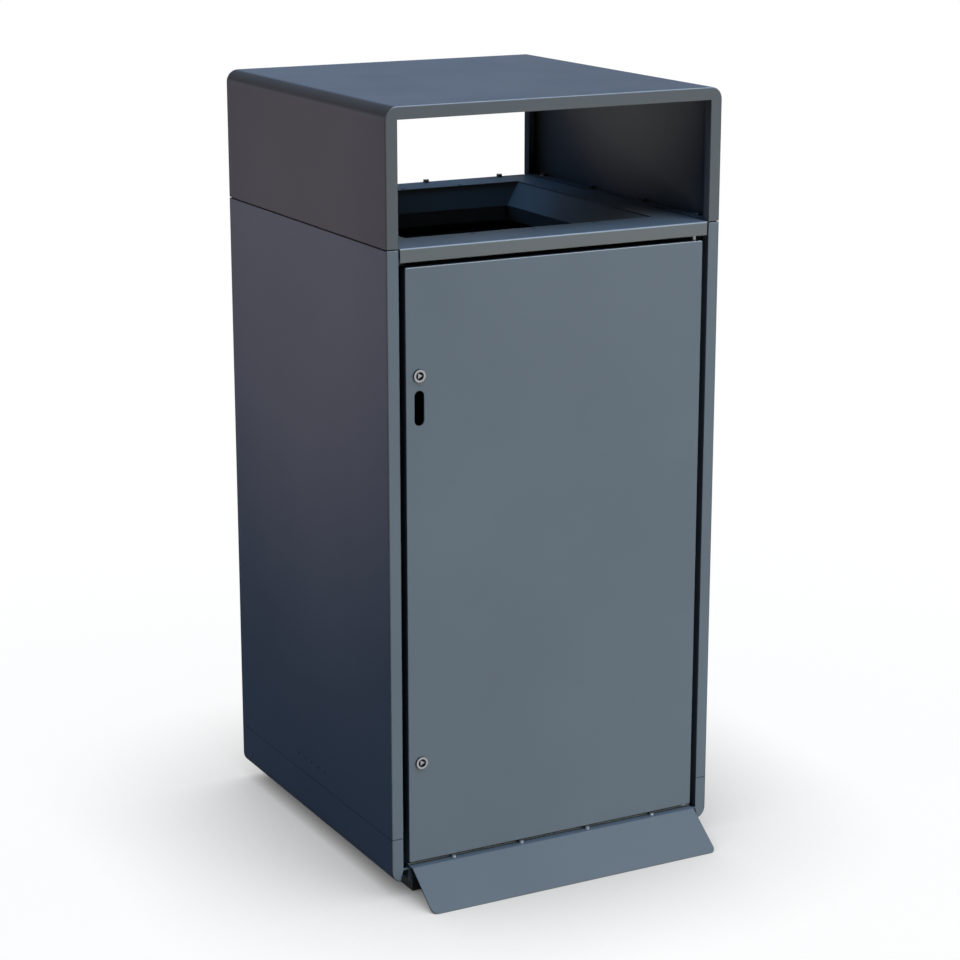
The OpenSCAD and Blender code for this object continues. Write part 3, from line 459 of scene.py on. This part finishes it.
def make_floor():
    mesh = bpy.data.meshes.new("floor")
    corners = [(x * FLOOR_HALF, y * FLOOR_HALF, 0) for x, y in ((-1, -1), (1, -1), (1, 1), (-1, 1))]
    mesh.from_pydata(corners, [], [(0, 1, 2, 3)])
    mesh.materials.append(floor_material())
    floor = bpy.data.objects.new("floor", mesh)
    bpy.context.scene.collection.objects.link(floor)


def lamp_object(name, kind, power, colour, towards):
    """A lamp that shines along the given direction."""
    data = bpy.data.lights.new(name, kind)
    data.energy = power
    data.color = colour
    lamp = bpy.data.objects.new(name, data)
    lamp.rotation_euler = towards.to_track_quat("-Z", "Y").to_euler()
    bpy.context.scene.collection.objects.link(lamp)
    return lamp


def sun(name, towards, strength, colour, width):
    """A far soft light."""
    lamp = lamp_object(name, "SUN", strength, colour, Vector(towards))
    lamp.data.angle = math.radians(width)


def placed_light(name, kind, at, aim, watts, colour):
    """A lamp at a place, aimed at a point, that leaves no glare in polished metal."""
    lamp = lamp_object(name, kind, watts, colour, Vector(aim) - Vector(at))
    lamp.location = at
    lamp.visible_glossy = False
    lamp.visible_camera = False
    return lamp


def panel_light(name, at, aim, side, watts, colour):
    """A square lamp."""
    placed_light(name, "AREA", at, aim, watts, colour).data.size = side


def spot_light(name, at, aim, watts, colour, beam, radius):
    """A lamp with a soft-edged beam."""
    lamp = placed_light(name, "SPOT", at, aim, watts, colour)
    lamp.data.spot_size = math.radians(beam)
    lamp.data.spot_blend = 1.0
    lamp.data.shadow_soft_size = radius


bpy.context.scene.view_settings.view_transform = "Standard"
make_camera()
make_world()
make_floor()
for lamp in PANEL_LIGHTS:
    panel_light(*lamp)
for lamp in SUNS:
    sun(*lamp)
for lamp in SPOT_LIGHTS:
    spot_light(*lamp)

tray_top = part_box("base_tray")[1].z
door_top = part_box("door_panel")[1].z
coat = powder_coat("anthracite_coat", COAT, fold=COAT_FOLD_HIGHLIGHT)
side_coat = powder_coat("side_coat", COAT, fold=COAT_FOLD_HIGHLIGHT, highlight_above=tray_top + FOLD_MARGIN,
                        shoulder=SHOULDER_SHADE, seam=tray_top)
# The door's top fold takes a brighter painted highlight
door_coat = powder_coat("door_coat", COAT, fold=DOOR_FOLD_HIGHLIGHT, highlight_above=door_top - FOLD_MARGIN)
# The hood takes the darker copy of the coat as painted shade
hood_coat = powder_coat("hood_coat", HOOD_SHADED_COAT, fold=COAT_FOLD_HIGHLIGHT, fold_lean=HOOD_FOLD_LEAN,
                        shoulder=SHOULDER_SHADE)
# Deck, funnel and ramp take the copy of the coat with the painted tint against the light from above
deck_coat = powder_coat("deck_coat", FLAT_LIGHT_TINTED_COAT, fold=COAT_FOLD_HIGHLIGHT)
flat_tinted_coat = powder_coat("flat_tinted_coat", FLAT_LIGHT_TINTED_COAT)
black = powder_coat("black_coat", BLACK_COAT, sheen=BLACK_SHEEN)
# Bolt heads take painted highlights
bolt_black = powder_coat("bolt_black", BLACK_COAT, BOLT_ROUGHNESS, BOLT_SHEEN, fold=BOLT_HEAD_HIGHLIGHT)
zinc = brushed_metal("zinc_plate", ZINC, roughness=0.38)
screw_metal = brushed_metal("screw_metal", SCREW_METAL, roughness=0.3)
lock_metal = brushed_metal("lock_metal", LOCK_METAL, roughness=0.3)
lock_face = lock_face_metal("lock_face")
lock_key = lock_key_metal("lock_key")
plastic = matt("container_plastic", CONTAINER, roughness=0.5, sheen=0.35, grain_scale=900.0, grain=0.2)
rubber = matt("rubber", RUBBER, roughness=0.6, sheen=0.35, grain_scale=700.0, grain=0.25)

by_slot = {
    "coated_steel": coat,
    "black_steel": black,
    "zinc_plated": zinc,
    "lock_metal": lock_metal,
    "rubber": rubber,
    "container_plastic": plastic,
}
# Nodes with a material of their own instead of their slot's
by_node = {
    "hood": hood_coat,
    "left_side_panel": side_coat,
    "right_side_panel": side_coat,
    "base_tray": side_coat,
    "deck_plate": deck_coat,
    "funnel_chute": flat_tinted_coat,
    "ramp_plate": flat_tinted_coat,
    "door_panel": door_coat,
    "hood_bolts": bolt_black,
    "deck_rear_bolts": bolt_black,
    "ramp_screws": screw_metal,
    "thrust_washer": screw_metal,
    "lower_hinge_pin": screw_metal,
    "upper_lock_housing": lock_face,
    "lower_lock_housing": lock_face,
    "upper_lock_spindle": lock_key,
    "lower_lock_spindle": lock_key,
}
for subpart in frame["record"]["subparts"]:
    slot_material = by_slot[subpart["material_slot"]]
    paint(subpart["node"], by_node.get(subpart["node"], slot_material))
